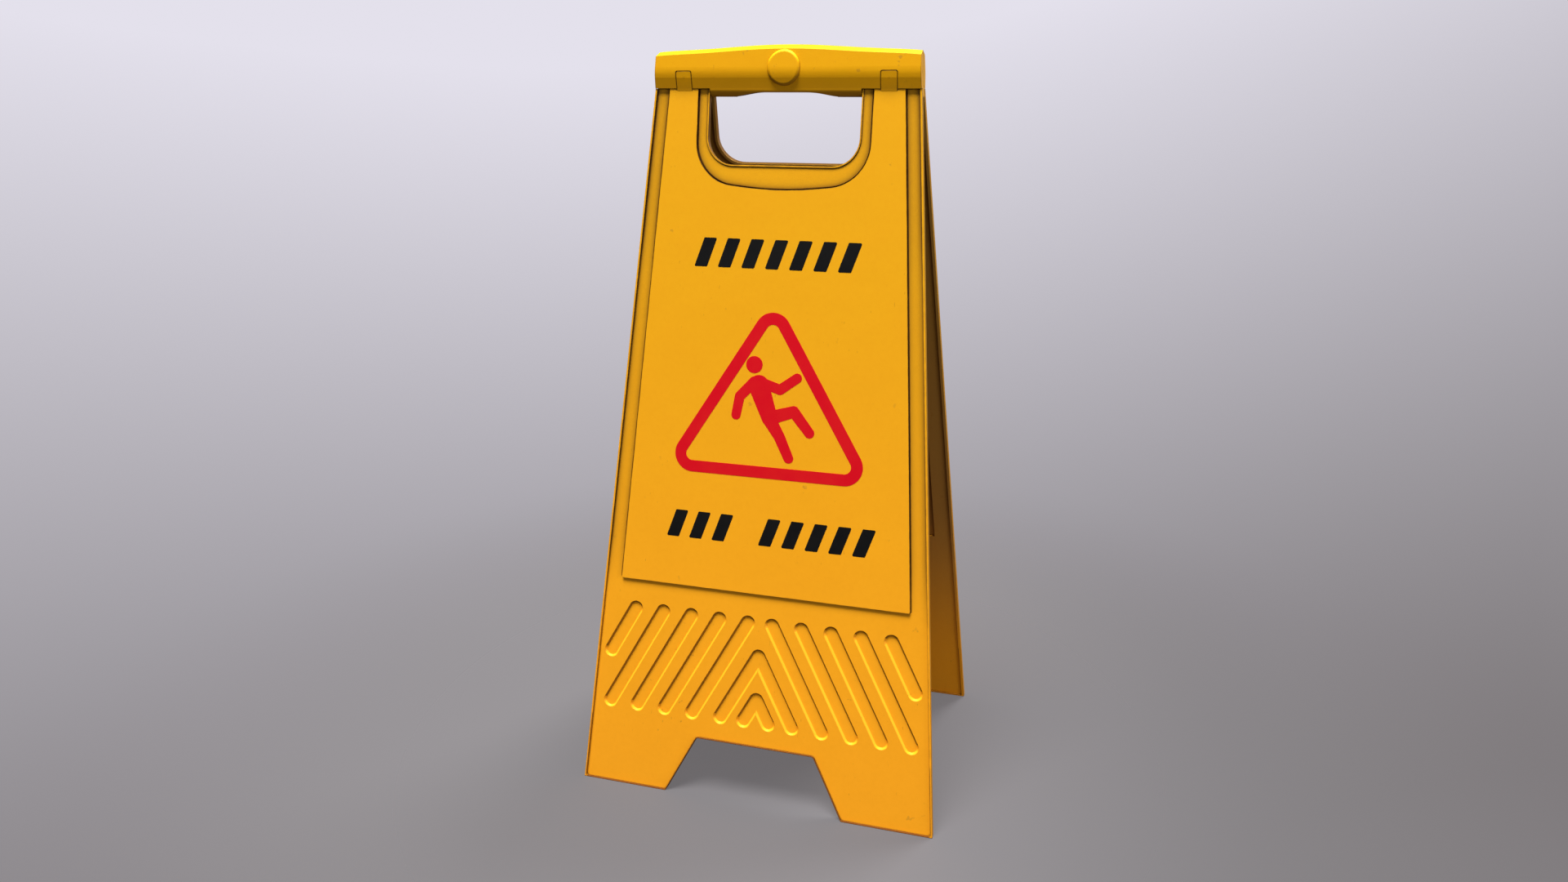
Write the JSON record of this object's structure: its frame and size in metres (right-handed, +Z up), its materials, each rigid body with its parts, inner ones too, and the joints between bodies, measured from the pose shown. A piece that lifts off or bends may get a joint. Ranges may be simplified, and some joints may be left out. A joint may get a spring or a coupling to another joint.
{
  "type": "wet floor sign",
  "caption": "Folding A-frame floor sign: two leaning moulded panels with feet and hand openings, hinged under a carrying grip.",
  "frame": {"origin": "on the floor, at the middle of the footprint of the open sign", "axes": "+Z up, -Y out of the front panel, +X to the right of the front panel as seen from the front, along the hinge"},
  "size_m": [0.3048, 0.224, 0.6024],
  "materials": {
    "yellow_plastic": "satin moulded polypropylene",
    "zinc_steel": "zinc plated",
    "pin_steel": "bright drawn",
    "black_plastic": "satin",
    "red_ink": "screen-printed ink",
    "black_ink": "screen-printed ink"
  },
  "bodies": {
    "front_half": {"front_panel": "yellow_plastic", "front_grip_shell": "yellow_plastic", "front_grip_cap": "yellow_plastic", "front_grip_screws": "zinc_steel", "right_hinge_pin": "pin_steel", "right_hinge_plug": "black_plastic"},
    "rear_half": {"rear_panel": "yellow_plastic", "rear_grip_shell": "yellow_plastic", "rear_grip_cap": "yellow_plastic", "rear_grip_screws": "zinc_steel", "left_hinge_pin": "pin_steel", "left_hinge_plug": "black_plastic"}
  },
  "joints": [
    {"name": "fold", "type": "hinge", "parent": "front_half", "child": "rear_half", "pos_m": [0, 0, 0.56858], "axis": [-1, 0, 0], "range_deg": [0, 20.69]}
  ]
}
